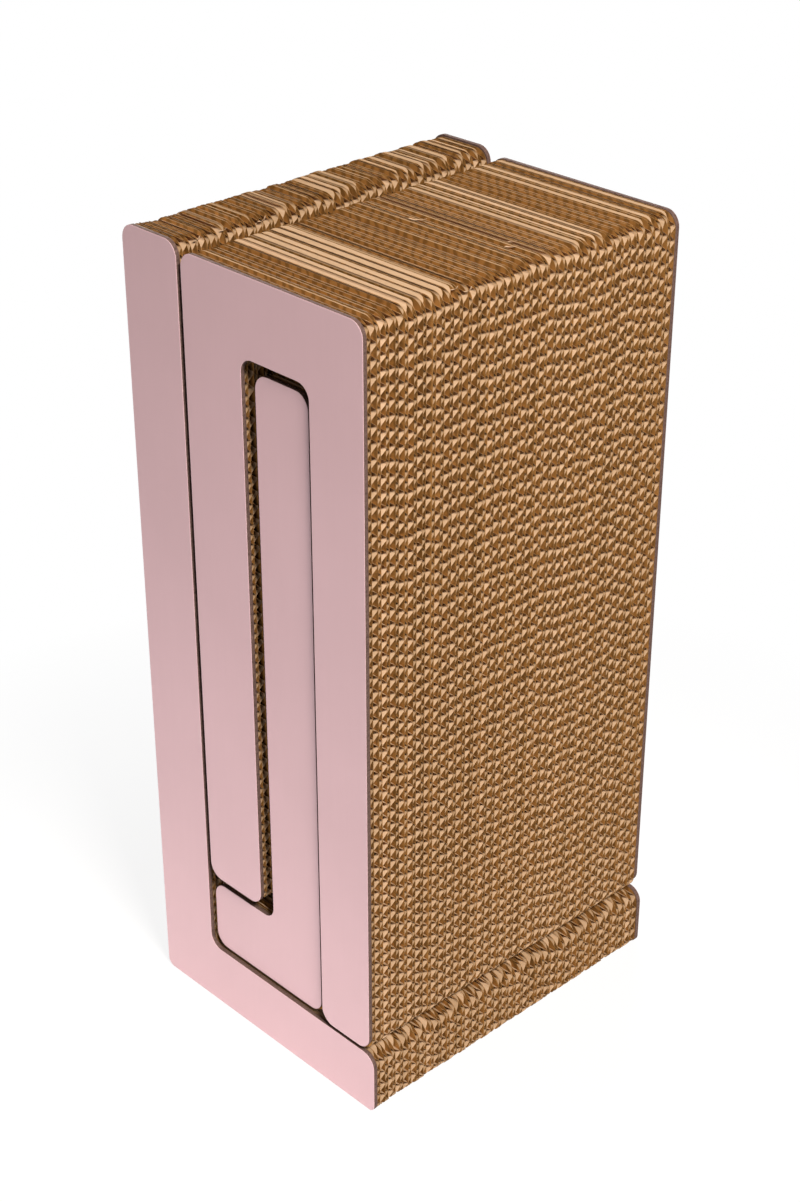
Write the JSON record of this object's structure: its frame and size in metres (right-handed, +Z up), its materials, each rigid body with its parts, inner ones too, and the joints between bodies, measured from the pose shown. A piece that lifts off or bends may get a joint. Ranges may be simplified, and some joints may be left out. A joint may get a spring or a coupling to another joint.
{
  "type": "cat scratcher",
  "caption": "Upright cat scratcher of nested corrugated-board blocks, an L, an arch and a boot, faced with pale pink boards; the arch lifts off and the boot slides out.",
  "frame": {"origin": "on the floor, under the middle of the whole set's box", "axes": "+X to the right of the front face, +Y from the front face to the back, +Z up"},
  "size_m": [0.194, 0.2384, 0.5],
  "materials": {
    "painted_board": "satin pale pink paint on thin hardboard, bare dark edges",
    "fluted_paper": "raw kraft paper, cut flute ends",
    "glued_paper": "raw kraft paper, cut edges"
  },
  "bodies": {
    "outer": {"outer_front_panel": "painted_board", "outer_fluted_sheet_1": "fluted_paper", "outer_sheet_bundle_1": "glued_paper", "outer_fluted_sheet_2": "fluted_paper", "outer_sheet_bundle_2": "glued_paper", "outer_fluted_sheet_3": "fluted_paper", "outer_sheet_bundle_3": "glued_paper", "outer_fluted_sheet_4": "fluted_paper", "outer_sheet_bundle_4": "glued_paper", "outer_fluted_sheet_5": "fluted_paper", "outer_sheet_bundle_5": "glued_paper", "outer_fluted_sheet_6": "fluted_paper", "outer_sheet_bundle_6": "glued_paper", "outer_back_panel": "painted_board"},
    "middle": {"middle_front_panel": "painted_board", "middle_fluted_sheet_1": "fluted_paper", "middle_sheet_bundle_1": "glued_paper", "middle_fluted_sheet_2": "fluted_paper", "middle_sheet_bundle_2": "glued_paper", "middle_fluted_sheet_3": "fluted_paper", "middle_sheet_bundle_3": "glued_paper", "middle_fluted_sheet_4": "fluted_paper", "middle_sheet_bundle_4": "glued_paper", "middle_fluted_sheet_5": "fluted_paper", "middle_sheet_bundle_5": "glued_paper", "middle_fluted_sheet_6": "fluted_paper", "middle_sheet_bundle_6": "glued_paper", "middle_back_panel": "painted_board"},
    "inner": {"inner_front_panel": "painted_board", "inner_fluted_sheet_1": "fluted_paper", "inner_sheet_bundle_1": "glued_paper", "inner_fluted_sheet_2": "fluted_paper", "inner_sheet_bundle_2": "glued_paper", "inner_fluted_sheet_3": "fluted_paper", "inner_sheet_bundle_3": "glued_paper", "inner_fluted_sheet_4": "fluted_paper", "inner_sheet_bundle_4": "glued_paper", "inner_fluted_sheet_5": "fluted_paper", "inner_sheet_bundle_5": "glued_paper", "inner_fluted_sheet_6": "fluted_paper", "inner_sheet_bundle_6": "glued_paper", "inner_back_panel": "painted_board"}
  },
  "joints": [
    {"name": "middle_lift", "type": "slide", "parent": "outer", "child": "middle", "axis": [0, 0, 1], "range_m": [0, 0.41]},
    {"name": "inner_draw", "type": "slide", "parent": "outer", "child": "inner", "axis": [0, -1, 0], "range_m": [-0.245, 0.245]}
  ]
}
